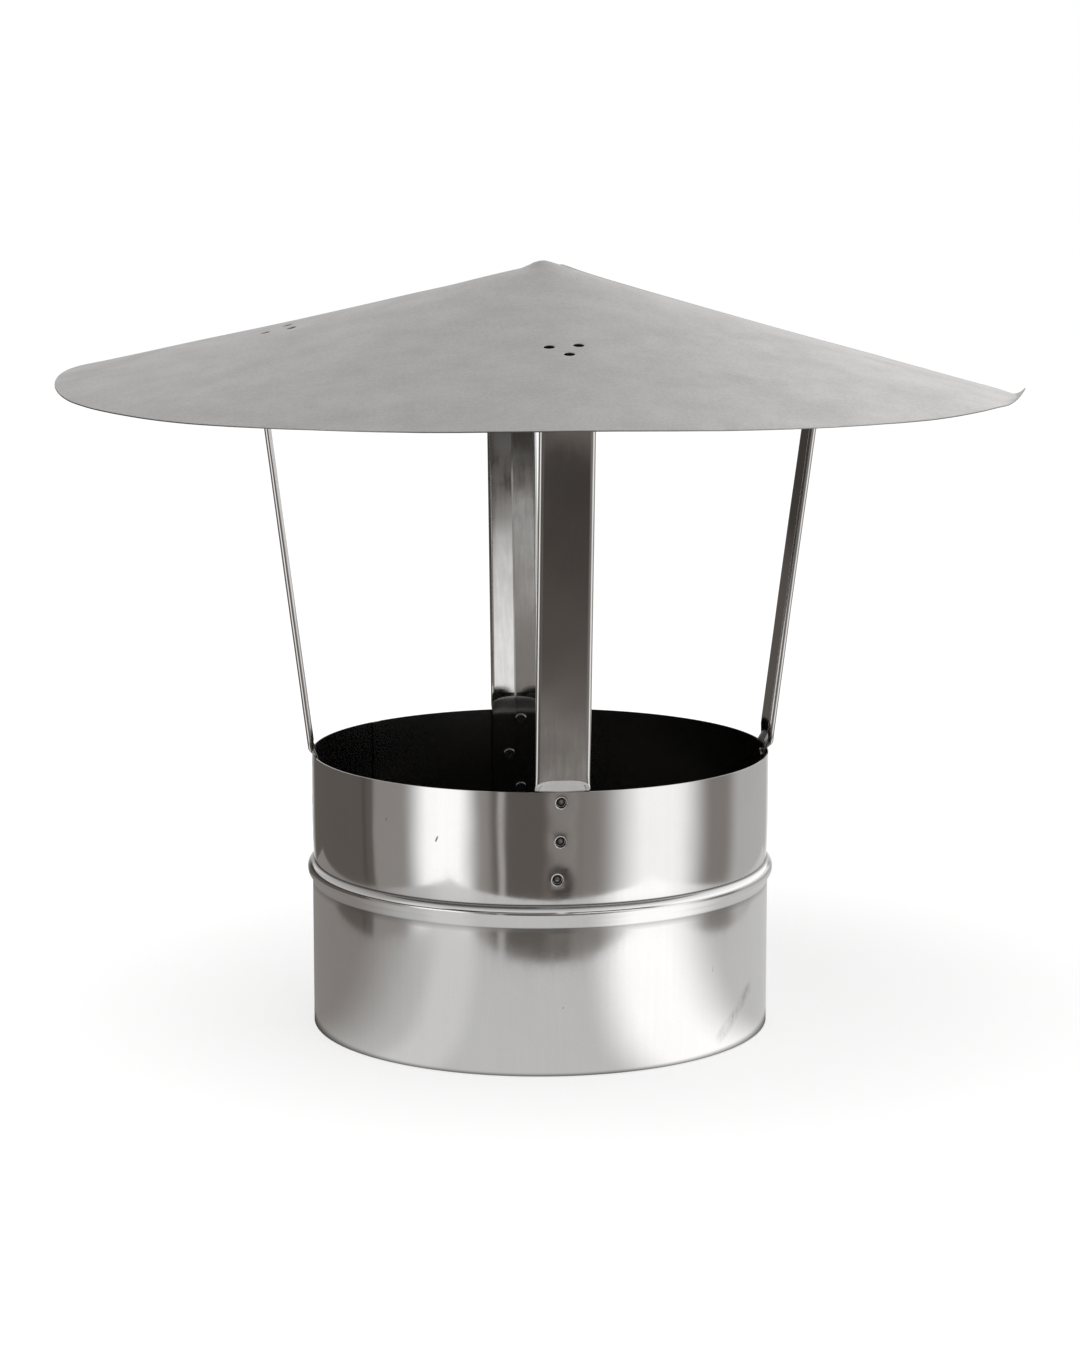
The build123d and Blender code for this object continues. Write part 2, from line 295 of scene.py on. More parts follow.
def steel(name):
    material, tree = newMaterial(name)
    shader = tree.nodes["Principled BSDF"]
    shader.inputs["Metallic"].default_value = 1
    place = addNode(tree, "ShaderNodeTexCoord").outputs["Object"]

    def noise(scale, detail, rough, stretch=(1, 1, 1), shift=(0, 0, 0)):
        mapping = addNode(tree, "ShaderNodeMapping", {"Vector": place, "Scale": stretch, "Location": shift})
        inputs = {"Vector": mapping.outputs["Vector"], "Scale": scale, "Detail": detail, "Roughness": rough}
        return addNode(tree, "ShaderNodeTexNoise", inputs).outputs["Fac"]

    def between(value, low, high, start, end):
        return setRange(tree, value, low, high, start, end, "SMOOTHSTEP")

    def math(operation, a, b, kind="Math", output=0):
        return addNode(tree, "ShaderNode" + kind, {0: a, 1: b}, operation=operation).outputs[output]

    def weigh(parts):
        # Adds up textures, each by its weight
        total = 0.0
        for texture, weight in parts:
            total = math("ADD", math("MULTIPLY", texture, weight), total)
        return total

    def vector(operation, a, b):
        single = operation in ("LENGTH", "DOT_PRODUCT")
        return math(operation, a, b, "VectorMath", "Value" if single else "Vector")

    def mark(start, end, reach):
        # A soft mask round a straight stroke between two places on the piece
        start, end = Vector(start) * mm, Vector(end) * mm
        away = vector("SUBTRACT", place, start)
        along = (end - start).normalized()
        side = vector("LENGTH", vector("CROSS_PRODUCT", away, along), (0, 0, 0))
        near = between(side, 0.3 * reach * mm, reach * mm, 1, 0)
        run = vector("DOT_PRODUCT", away, along)
        length = (end - start).length
        first = between(run, -reach * mm, 0.3 * reach * mm, 0, 1)
        last = between(run, length - 0.3 * reach * mm, length + reach * mm, 1, 0)
        return math("MULTIPLY", near, math("MULTIPLY", first, last))

    def finish(wear, kind, stain=0.0):
        # Colour and roughness follow the wear, and go over to the dark ones in painted shade and in stains
        s = finishSizes
        shade = addNode(tree, "ShaderNodeAttribute", attribute_name="dull").outputs["Fac"]
        # Painted shade from the piece and the real stains both take the colour to the dark tint
        dull = math("MAXIMUM", shade, stain)
        plain = mixTwo(tree, "RGBA", wear, *[(*tint, 1) for tint in s[kind + "Tints"]])
        worn = between(wear, 0, 1, *s[kind + "Roughness"])
        feed(tree, shader.inputs["Base Color"], mixTwo(tree, "RGBA", dull, plain, (*s["shadeAndStainTint"], 1)))
        feed(tree, shader.inputs["Roughness"], mixTwo(tree, "FLOAT", dull, worn, s["shadeAndStainRoughness"]))

    def bump(height, distance, strength):
        inputs = {"Height": height, "Distance": distance, "Strength": strength}
        feed(tree, shader.inputs["Normal"], addNode(tree, "ShaderNodeBump", inputs).outputs["Normal"])

    return material, noise, between, weigh, math, mark, finish, bump


def hatSteel():
    # Dull mill finish: fine grain, faint mottling and a few wiped smudges
    material, noise, between, weigh, math, mark, finish, bump = steel("satinHat")
    mottle = noise(48, 5, 0.65)
    grain = noise(750, 3, 0.65)
    smudge = between(noise(13, 3, 0.6, (1, 1.6, 1), (3, 1, 0)), 0.55, 0.75, 0, 0.3)
    cloud = weigh([(mottle, 0.45), (grain, 0.55)])
    finish(math("SUBTRACT", between(cloud, 0.25, 0.75, 0, 1), smudge), "hat")
    bump(weigh([(grain, 1), (mottle, 1.5)]), 0.00002, 0.3)
    return material


def tubeSteel():
    # Bright rolled finish: nearly a mirror, with faint upright streaks, wiped patches and a few marks
    material, noise, between, weigh, math, mark, finish, bump = steel("brightTube")
    streak = noise(1, 3, 0.55, (420, 420, 14))
    patch = noise(26, 4, 0.6)
    grain = noise(1300, 2, 0.6)
    wear = between(weigh([(streak, 0.25), (patch, 0.5), (grain, 0.25)]), 0.25, 0.75, 0, 1)
    blotch = between(noise(210, 4, 0.65), 0.3, 0.65, 0.35, 1.3)
    marks, far = [], finishSizes["markRadius"]
    for start, end, reach, dark in tubeMarks:
        ends = [(far * cos(radians(turn)), far * sin(radians(turn)), height) for turn, height in (start, end)]
        marks.append((mark(*ends, reach), dark))
    finish(wear, "tube", math("MULTIPLY", weigh(marks), blotch))
    bump(weigh([(streak, 0.8), (grain, 0.1)]), 0.000008, 0.35)
    return material


def stripSteel():
    # The same bright finish on strip, with cloudy marks on its flat face
    material, noise, between, weigh, math, mark, finish, bump = steel("brightStrip")
    streak = noise(1, 3, 0.55, (600, 600, 18))
    cloud = noise(40, 5, 0.65, (1, 1, 0.7))
    finish(between(weigh([(streak, 0.3), (cloud, 0.7)]), 0.3, 0.7, 0, 1), "strip")
    bump(weigh([(streak, 0.5), (cloud, 0.8)]), 0.00002, 0.35)
    return material


# Collar tube: a flat punched blank that a tree rolls round the flue axis and welds
collarSizes = {
    "radius": 100.0,
    "height": 120.5,
    "sheet": 0.5,
    "flankFoot": 63.1,
    "crown": 69.3,
    "crownRise": 2.2,
    "crease": 72.8,
    "neckDepth": 0.7,
    "neckFade": 7.0,
    "seamAzimuth": 133.7,
    "seamWidth": 5.0,
    "seamRise": 0.7,
    "clinchDrops": (4.5, 21.0, 37.0),
    "clinchDepth": 2.0,
    "clinchCell": 0.9,
    "clinchPatch": 10,
    "clinchRows": 47,
    "clinchPull": 0.11,
    "pullWidth": 4.2,
    "plainCell": 2.6,
    "grooveDepth": 0.13,
    "grooveWidth": 0.22,
    "outOfRound": ((2, 0.6, 0.10), (3, 1.9, 0.05), (5, 0.4, 0.03)),
    "ripples": ((34, 1.3, 0.018, 0.35, -0.3, 0.4), (13, 2.6, 0.006, -0.2, 0.4, 1.0)),
    "calmSpan": (60, 90),
    "beadRows": (9, 9, 12, 14),
    # Painted shade: the flue's inside, the crease line and the line under the bead
    "flueShade": 0.86,
    "creaseShade": 0.85,
    "creaseWidth": 0.35,
    "footShade": 0.4,
    "footWidth": 0.3,
    "weld": 0.005,
}
footWander = {
    "legRight": (0.0, 0.0, 0.0),
    "legBack": (-2.2, 3.3, -2.2),
    "legLeft": (0.0, 0.0, 0.0),
    "legFront": (-0.4, -0.7, -2.0),
}
legAzimuth = {"legRight": 0.0, "legBack": 91.2, "legLeft": 180.0, "legFront": 270.0}


def neckIn(height):
    s = collarSizes
    return s["neckDepth"] * np.exp(-(height - s["crease"]) / s["neckFade"])


def wallRise(z):
    # How far the outer wall stands out from the plain tube: bead, crease and neck
    s = collarSizes
    half = (s["crown"] - s["flankFoot"]) / 2
    foot = (half * half + s["crownRise"] ** 2 / 4) / s["crownRise"]
    low = foot - np.sqrt(np.clip(foot**2 - np.clip(z - s["flankFoot"], 0, half) ** 2, 0, None))
    high = s["crownRise"] - foot + np.sqrt(foot**2 - np.clip(s["crown"] - z, 0, half) ** 2)
    drop = s["crownRise"] + s["neckDepth"]
    rise = s["crease"] - s["crown"]
    top = (drop * drop + rise * rise) / (2 * drop)
    flank = s["crownRise"] - top + np.sqrt(np.clip(top**2 - (z - s["crown"]) ** 2, 0, None))
    neck = -neckIn(np.maximum(z, s["crease"] - 2))
    above = (flank + neck + np.sqrt((flank - neck) ** 2 + 0.2**2)) / 2
    return np.where(z < s["flankFoot"] + half, low, np.where(z < s["crown"], high, above))


def rollTree():
    inputs = (("Radius", "Float"), ("Weld", "Float"), ("Finish", "Material"))
    tree, given, add, combine, close = newTree("rollBlank", inputs)
    flat = addNode(tree, "ShaderNodeSeparateXYZ", {0: add("GeometryNodeInputPosition")}).outputs
    turn = combine("DIVIDE", flat["X"], given["Radius"])
    reach = combine("SUBTRACT", given["Radius"], flat["Y"])
    x, y = [combine("MULTIPLY", reach, combine(wave, turn)) for wave in ("COSINE", "SINE")]
    spot = add("ShaderNodeCombineXYZ", {"X": x, "Y": y, "Z": flat["Z"]})
    rolled = add("GeometryNodeSetPosition", {"Geometry": given["Geometry"], "Position": spot})
    return close(add("GeometryNodeMergeByDistance", {"Geometry": rolled, "Distance": given["Weld"]}))


def makeCollar(material):
    s = collarSizes
    arc = s["radius"] * pi / 180
    cell, patch = s["clinchCell"], s["clinchPatch"]
    runs = [azimuth * arc + np.arange(-patch, patch + 1) * cell for azimuth in legAzimuth.values()]
    # The seam has an upright line of points at each change of its section
    seam, edge = s["seamAzimuth"] * arc, s["seamWidth"] / 2
    lines = [-edge - 0.7, -edge - 0.1, -edge + 0.1, -edge / 2, 0, edge / 2, edge - 0.1]
    runs.append(seam + np.array(lines + [edge + past for past in (0.1, 0.35, 0.6, 0.85, 1.6)]))
    runs.sort(key=lambda run: run[0])
    columns = spread([[-45 * arc]] + runs + [[315 * arc]], s["plainCell"])
    lattice = s["height"] - np.arange(s["clinchRows"], -1, -1) * cell
    half = (s["flankFoot"] + s["crown"]) / 2
    ends = [s["flankFoot"], half, s["crown"], s["crease"] - 0.7, s["crease"] + 0.6]
    spans = zip(ends, ends[1:], s["beadRows"])
    bead = [z for low, high, count in spans for z in np.linspace(low, high, count)[:-1]] + ends[-1:]
    rows = spread([[0.0], [0.25], [0.8], bead, lattice], s["plainCell"])
    punches = [
        (azimuth * arc + aside, s["height"] - drop, clinchRings(s["clinchDepth"]))
        for name, azimuth in legAzimuth.items()
        for drop, aside in zip(s["clinchDrops"], footWander[name])
    ]

    def toLocal(p, q, pc, qc):
        return p - pc, q - qc

    def fromLocal(x, y, pc, qc):
        return pc + x, qc + y

    front, back, depths, owner, faces = clinchedSheet(columns, rows, punches, patch, toLocal, fromLocal)

    def wobble(u, z):
        # Slightly out of round, with faint ripples, and pulled in round each clinch
        turn = u / s["radius"]
        w = 0
        for waves, start, high in s["outOfRound"]:
            w = w + high * np.sin(waves * turn + start)
        x, y = [s["radius"] * wave(turn) for wave in (np.cos, np.sin)]
        for size, seed, high, leanX, leanY, calm in s["ripples"]:
            wave = ripple(x + leanX * z, y + leanY * z, size, seed)
            w = w + high * wave * (calm + (1 - calm) * smoothStep(*s["calmSpan"], z))
        for pc, qc, rings in punches:
            w = w - s["clinchPull"] * np.exp(-((u - pc) ** 2 + (z - qc) ** 2) / s["pullWidth"] ** 2)
        return w

    def sheetPoints(place, depth, thickness):
        u, z = place[:, 0], place[:, 1]
        rise = wallRise(z)
        slope = (wallRise(z + 0.02) - wallRise(z - 0.02)) / 0.04
        slope = np.where((z < 0.01) | (z > s["height"] - 0.01), 0, slope)
        size = np.sqrt(1 + slope**2)
        # The seam is thicker to the inside, with a groove along one edge outside
        extra = groove = 0
        if thickness:
            extra = s["seamRise"] * (1 - smoothStep(edge - 0.1, edge + 0.1, np.abs(u - seam)))
        else:
            groove = s["grooveDepth"] * np.exp(-((u - seam - edge - 0.6) / s["grooveWidth"]) ** 2)
        out = rise + wobble(u, z) - groove - (thickness + extra) / size - depth
        return np.stack([u, -out, z + thickness * slope / size], 1)

    outer = sheetPoints(front, depths[:, 0], 0.0)
    inner = sheetPoints(back, depths[:, 1], s["sheet"])
    along, total = len(rows), len(columns) * len(rows)
    points, faces, used = thickSheet(outer, inner, faces, [*range(along), *range(total - along, total)])
    # Painted shade: the punches' walls, the thin line in the crease and the one under the bead, and the
    # flue's inside
    z = outer[used, 2]
    line = s["creaseShade"] * np.exp(-(((z - s["crease"]) / s["creaseWidth"]) ** 2))
    line = line + s["footShade"] * np.exp(-(((z - s["flankFoot"]) / s["footWidth"]) ** 2))
    dull = np.maximum(punchShade(depths[used, 0], s["clinchDepth"]), line)
    piece = newPiece("collarTube", points, faces, material)
    addValues(piece.data, "dull", np.append(dull, np.full(len(used), s["flueShade"])))
    bakeTree(piece, rollTree(), {"Radius": s["radius"] * mm, "Weld": s["weld"] * mm, "Finish": material})
    shadeSheet(piece.data)
    print("collar tube:", len(piece.data.polygons), "faces")
    return piece


# Hat: one slit disc drawn into a cone, lapped over itself at the right
hatSizes = {
    "radius": 207.5,
    "eave": 278.2,
    "slope": 14.7,
    "sheet": 0.5,
    "nubRadius": 8.5,
    "lapEdge": 6.2,
    "lapRamp": 4.0,
    "lapLift": 0.55,
    "lapFade": 1.5,
    "tongueStart": 10.5,
    "tongueGap": (100, 124),
    "tongueShort": 1.2,
    "tipCurl": 4.5,
    "curlWidth": 3.5,
    "curlSpan": (-29, -15, -11, -2),
    "curlPower": 1.3,
    "rimRise": (
        -4.8, -3.2, 0.9, 1.3, 0.4, 0, 0, 0, 0, 1.0, 4.7, 6.3,
        4.2, 1.2, -0.1, -0.6, 0, 0.5, 1.3, 0.4, -0.4, -0.7, -0.3, -2.1,
    ),
    "sideSag": (0.6, 1.6),
    # Painted shade on the underside, more at the rim's lower edge
    "undersideShade": 0.4,
    "rimEdgeShade": 0.5,
    "rimShade": (5, 2),
    "nubReach": (0, 2.5, 5, 8.5, 12, 20, 35, 60),
    "nubLeft": (0, 0.1, -0.45, -0.9, -0.75, -0.5, -0.4, 0),
    "nubRight": (0, 0.75, 0.85, 0.8, 0.65, 0.2, 0.1, 0),
    "tabCorner": 123.74,
    "clinches": ((-6.4, 15.2), (5.6, 16.7), (0.8, 5.7)),
    "clinchDepth": 2.15,
    "clinchCell": 0.4167,
    "clinchPatch": 10,
    "clinchRun": 15,
    "clinchPull": 0.1,
    "pullWidth": 4.2,
    "plainCell": 1.5,
    "rowStep": 4.6,
    "tabRows": (101, 125.01, 0.8),
    "ripples": ((70, 4.2, 0.09), (26, 5.5, 0.03)),
    "buckles": ((33, 0.5), (22.5, -0.5)),
    "buckleWidth": 3,
    "buckleStart": 165,
}


def coneHeight(reach):
    s = hatSizes
    dip = radians(s["slope"])
    return s["eave"] + s["sheet"] / cos(dip) + (s["radius"] - reach) * tan(dip)


def hatWarp(turn, reach):
    # The real hat's rim rises and hangs by a few millimetres, given here every 15 degrees from +X,
    # and its sides sag a little between the nub and the rim
    s = hatSizes
    rises = np.array(s["rimRise"])
    place = (turn % 360) * len(rises) / 360
    first = np.floor(place).astype(int)
    t = place - first
    a, b, c, d = [rises[(first + k) % len(rises)] for k in (-1, 0, 1, 2)]
    rise = b + 0.5 * t * (c - a + t * (2 * a - 5 * b + 4 * c - d + t * (3 * b - a - 3 * c + d)))
    right = 0.5 + 0.5 * np.cos(np.radians(turn))
    sag = s["sideSag"][0] * right + s["sideSag"][1] * (1 - right)
    part = reach / s["radius"]
    return rise * part - sag * np.sin(pi * np.minimum(part, 1) ** 0.7)


def tabClinches():
    # Angle and reach of the clinches that hold a tab, with the angle from the middle of the strip
    spots = [(hatSizes["tabCorner"] - setback, aside) for aside, setback in hatSizes["clinches"]]
    return [(atan2(aside, out), hypot(out, aside)) for out, aside in spots]


def squareDown(turn):
    # Down through the hat, square to its slope
    dip = radians(hatSizes["slope"])
    return np.array([-sin(dip) * cos(turn), -sin(dip) * sin(turn), -cos(dip)])


def eased(value, places, heights):
    # Smooth steps from one given height to the next
    k = np.clip(np.searchsorted(places, value, side="right") - 1, 0, len(places) - 2)
    places, heights = np.array(places, float), np.array(heights, float)
    t = np.clip((value - places[k]) / (places[k + 1] - places[k]), 0, 1)
    return heights[k] + (heights[k + 1] - heights[k]) * t * t * (3 - 2 * t)


def makeHat(material):
    s = hatSizes
    dip = radians(s["slope"])
    lapBack = s["lapEdge"] + 360 - 360 / cos(dip)
    cell, wide = s["clinchCell"], s["clinchRun"]
    # The sheet starts with the tongue under the lap, goes once round and ends at the lap's raw edge
    turns = [azimuth - 360 for azimuth in legAzimuth.values() if azimuth]
    runs = [turn + np.arange(-wide, wide + 1) * cell for turn in turns] + [np.arange(-wide, wide) * cell]
    columns = spread([[lapBack - 360], [s["lapEdge"] - 360]] + runs + [[s["lapEdge"]]], s["plainCell"])
    opening = int(np.argmin(abs(columns - s["lapEdge"] + 360)))
    nub = [0.0, 0.7, 1.6, 2.6, 3.5, 4.3, 5.2, 6.1, 7.1, 8.5, 9.4, 10.4, 12.0]
    rim = [s["radius"] - back for back in (10, 8, 6, 4.6, 3.5, 2.8, 2.1, 1.5, 1, 0.5, 0)]
    rows = spread([nub, np.arange(*s["tabRows"]), rim], s["rowStep"])[::-1]
    punches = []
    for turn in [0] + turns:
        lift = s["lapLift"] if turn == 0 else 0
        for angle, reach in tabClinches():
            punches.append((turn + degrees(angle), reach, clinchRings(s["clinchDepth"] + lift)))

    def toLocal(p, q, pc, qc):
        return np.radians(p - pc) * q, (qc - q) / cos(dip)

    def fromLocal(x, y, pc, qc):
        q = qc - y * cos(dip)
        return pc + np.degrees(x / q), q

    def skipped(i, j):
        # The tongue under the lap ends short of the tab's clinches and of the nub
        middle = (rows[j] + rows[j + 1]) / 2
        if i >= opening:
            return j == len(rows) - 2
        low, high = s["tongueGap"]
        short = columns[i + 1] < s["lapEdge"] - 360 - s["tongueShort"]
        return middle < s["tongueStart"] or (low < middle < high and short)

    sheet = clinchedSheet(columns, rows, punches, s["clinchPatch"], toLocal, fromLocal, skipped)
    front, back, depths, owner, faces = sheet
    across, along = len(columns), len(rows)
    # The slit ends at the nub, where the last column meets the opening one, and one point closes the top
    inNub = [j for j in range(along) if rows[j] <= s["nubRadius"] + 0.01]
    welded = {(across - 1) * along + j: opening * along + j for j in inNub}
    faces += [((i + 1) * along - 2, (i + 2) * along - 2, len(front)) for i in range(opening, across - 1)]
    faces = [tuple(welded.get(i, i) for i in face) for face in faces]
    front, back, depths = [np.append(part, [[0, 0]], 0) for part in (front, back, depths)]
    owner = np.append(owner, -1)

    def sheetPoints(place, depth, thickness):
        turn, reach = place[:, 0], place[:, 1]
        angle = np.radians(turn)
        # The rim is bent up at the right-hand tip, and the tongue under the lap with it
        aside = (turn + 180) % 360 - 180
        start, full, fading, end = s["curlSpan"]
        curl = smoothStep(start, full, aside) * (1 - smoothStep(fading, end, aside))
        curl = curl * np.clip((reach - s["radius"]) / s["curlWidth"] + 1, 0, 1) ** s["curlPower"]
        x, y = [reach * wave(angle) for wave in (np.cos, np.sin)]
        z = coneHeight(reach) + hatWarp(turn, reach) + s["tipCurl"] * curl
        lift = s["lapLift"] * smoothStep(lapBack - s["lapRamp"], lapBack, turn)
        z = z + lift * smoothStep(s["nubRadius"], s["nubRadius"] + s["lapFade"], reach)
        for size, seed, high in s["ripples"]:
            z = z + high * ripple(x, y, size, seed)
        # Two small buckles in the eave at the back right, and the pressed nub, which leans to the right
        for buckle, high in s["buckles"]:
            bell = np.exp(-(((turn % 360 - buckle) / s["buckleWidth"]) ** 2))
            z = z + high * bell * smoothStep(s["buckleStart"], s["radius"], reach)
        left = 0.5 - 0.5 * np.cos(angle + 0.1)
        leftNub, rightNub = [eased(reach, s["nubReach"], s[side]) for side in ("nubLeft", "nubRight")]
        z = z + left * leftNub + (1 - left) * rightNub
        for pc, qc, rings in punches:
            lx, ly = toLocal(turn, reach, pc, qc)
            z = z - s["clinchPull"] * np.exp(-(lx**2 + ly**2) / s["pullWidth"] ** 2)
        sink = np.array([*[squareDown(radians(pc)) for pc, qc, rings in punches], [0, 0, 0]])
        return np.stack([x, y, z - thickness / cos(dip)], 1) + sink[owner] * depth[:, None]

    outer = sheetPoints(front, depths[:, 0], 0.0)
    inner = sheetPoints(back, depths[:, 1], s["sheet"])
    points, faces, used = thickSheet(outer, inner, faces)
    # Painted shade: the punches' walls and the underside, most of all at the rim's lower edge
    start, full = [s["radius"] - setback for setback in s["rimShade"]]
    under = s["undersideShade"] + s["rimEdgeShade"] * smoothStep(start, full, back[used, 1])
    piece = newPiece("rainHat", points, faces, material)
    addValues(piece.data, "dull", np.append(punchShade(depths[used, 0], s["clinchDepth"]), under))
    shadeSheet(piece.data)
    print("rain hat:", len(piece.data.polygons), "faces")
    return piece


# Leg strips: a web with both edges folded back, flat in the collar and under the hat
legSizes = {
    "width": 23.0,
    "sheet": 0.5,
    "foldTurns": 11,
    "seatRadius": 99.35,
    "footDepth": 43.0,
    "lean": 7.1,
    "standOut": 1.4,
    "flatFold": 0.55,
    "openFold": 1.5,
    "foldSlot": 1.0,
    "flareHigh": 5.0,
    "flareEnd": 7.4,
    "archPower": 3.5,
    "archPart": 0.62,
    "closing": 12.0,
    "bendRadius": 2.5,
    "tabLength": 24.5,
    "tabGap": 0.3,
    "buttonRadius": 2.75,
    "buttonHeight": 1.0,
    # Painted shade on the strips' feet in the collar and on their buttons
    "footShade": 0.93,
    "shadeFade": (3, 9),
    "buttonShade": 0.6,
    "nestRadius": 2.5,
    "nestDepth": 0.65,
    "nestReach": 1.4,
    "roundSides": 40,
    "ripples": ((60, 0, 0.03), (22, 0.7, 0.01)),
    "warpFrom": 190.0,
    "warpTo": 285.0,
}


def sectionLine(fold):
    # Across the strip: sideways, depth and the outward direction of the sheet's middle line
    s = legSizes
    half, edge = s["sheet"] / 2, s["width"] / 2
    lip = (s["foldSlot"] / 2, s["sheet"] * 1.5 + 2 * (fold - s["sheet"]) * 0.12)
    centre, ring = (edge - fold, fold), fold - half
    gap = hypot(centre[0] - lip[0], centre[1] - lip[1])
    toLip = atan2(lip[1] - centre[1], lip[0] - centre[0]) % (2 * pi)
    meet = toLip - np.arccos(ring / gap)
    turns = np.linspace(-pi / 2, meet, s["foldTurns"])
    right = [(x, half, 0, -1) for x in np.linspace(0, centre[0], 10)[1:-1]]
    right += [(centre[0] + ring * cos(t), centre[1] + ring * sin(t), cos(t), sin(t)) for t in turns]
    x, d, nx, nd = right[-1]
    right += [(x + (lip[0] - x) * k / 5, d + (lip[1] - d) * k / 5, nx, nd) for k in range(1, 6)]
    left = [(-x, d, -nx, nd) for x, d, nx, nd in reversed(right)]
    return np.array(left + [(0, half, 0, -1)] + right)


def faceAt(z):
    # How far the outer face of a leaning strip is from the flue axis
    lean = radians(legSizes["lean"])
    return collarSizes["radius"] + legSizes["standOut"] + (z - collarSizes["height"]) * tan(lean)


def legLine():
    # Stations up the strip: the kind of place, how far along it they are, and how open the folds are
    s, c, h = legSizes, collarSizes, hatSizes
    lean, dip = radians(s["lean"]), radians(h["slope"])
    corner = (h["tabCorner"], coneHeight(h["tabCorner"]) - (s["sheet"] + s["tabGap"]) / cos(dip))
    bend = pi / 2 + lean - dip
    reach = s["bendRadius"] * tan(bend / 2)
    start = (corner[0] - reach * sin(lean), corner[1] - reach * cos(lean))
    centre = (start[0] - s["bendRadius"] * cos(lean), start[1] + s["bendRadius"] * sin(lean))
    plain = (start[1] - c["height"] - s["flareEnd"]) / cos(lean) - s["closing"]
    opened, flat = s["openFold"], s["flatFold"]
    stations = [("foot", z, flat) for z in np.linspace(c["height"] - s["footDepth"], c["height"], 16)]
    stations += [("flare", t, flat + (opened - flat) * t) for t in np.linspace(0, 1, 15)[1:]]
    stations += [("run", d, opened) for d in np.linspace(0, plain, 34)[1:]]
    for t in np.linspace(0, 1, 10)[1:]:
        fold = opened + (flat - opened) * smoothStep(0, 1, t)
        stations.append(("run", plain + s["closing"] * t, fold))
    stations += [("bend", t * bend, flat) for t in np.linspace(0, 1, 13)[1:]]
    stations += [("tab", d, flat) for d in np.linspace(0, s["tabLength"] - reach, 6)[1:]]
    return stations, centre, bend, lean


def legPoints(name, side):
    s, c = legSizes, collarSizes
    stations, centre, bend, lean = legLine()
    seed = legAzimuth[name] / 90 + 1
    turn = radians(legAzimuth[name])
    swing = np.array([[cos(turn), -sin(turn), 0], [sin(turn), cos(turn), 0], [0, 0, 1]])
    layers = []
    for kind, value, fold in stations:
        y, depth, outward, deeper = sectionLine(fold).T
        y, depth = y + side * s["sheet"] / 2 * outward, depth + side * s["sheet"] / 2 * deeper
        turned = y
        if kind == "foot":
            z = np.full(len(y), value)
            seat = s["seatRadius"] - neckIn(z)
            x, turned = (seat - depth) * np.cos(y / seat), (seat - depth) * np.sin(y / seat)
        elif kind == "flare":
            # The crease over the rim is curved: high in the middle and low at the folds
            arch = (abs(y) / (s["width"] / 2 + 0.4)) ** s["archPower"]
            high, part = s["flareHigh"] * np.sqrt(np.clip(1 - arch, 0.04, 1)), s["archPart"]
            past = high + (s["flareEnd"] - high) * (value - part) / (1 - part)
            rise = value / part * high if value < part else past
            z = c["height"] + rise
            seat = s["seatRadius"] - neckIn(z)
            bowed, flat = seat * np.cos(y / seat), faceAt(z)
            blend = np.clip(rise / high, 0, 1)
            out = bowed + (flat - bowed) * blend
            x = out - depth * cos(lean * blend.mean())
            z = z + depth * sin(lean) * blend
            turned = np.sin(y / seat) * (seat - depth) * (1 - blend) + y * blend
        elif kind == "run":
            z0 = c["height"] + s["flareEnd"] + value * cos(lean)
            buckle = sum(high * ripple(y, value, size, seed + more) for size, more, high in s["ripples"])
            buckle = buckle * smoothStep(0, 15, value) * smoothStep(160, 140, value)
            x, z = faceAt(z0) - (depth + buckle) * cos(lean), z0 + (depth + buckle) * sin(lean)
        else:
            look, past = (value - lean, 0) if kind == "bend" else (bend - lean, value)
            ray = s["bendRadius"] - depth
            x = centre[0] + ray * cos(look) - past * sin(look)
            z = centre[1] + ray * sin(look) + past * cos(look)
        layers.append(np.stack([x, turned, z], 1) @ swing.T)
    points = np.stack(layers, 1)
    return withHat(points.reshape(-1, 3)).reshape(points.shape), swing


def withHat(points):
    # The top of a strip follows the hat where that hangs higher or lower than a true cone
    x, y, z = points.T
    shift = hatWarp(np.degrees(np.arctan2(y, x)), np.hypot(x, y))
    shift = shift * smoothStep(legSizes["warpFrom"], legSizes["warpTo"], z)
    return points + shift[:, None] * np.array([0, 0, 1])


buttonLengths = ("buttonRadius", "buttonHeight", "nestRadius", "nestDepth")


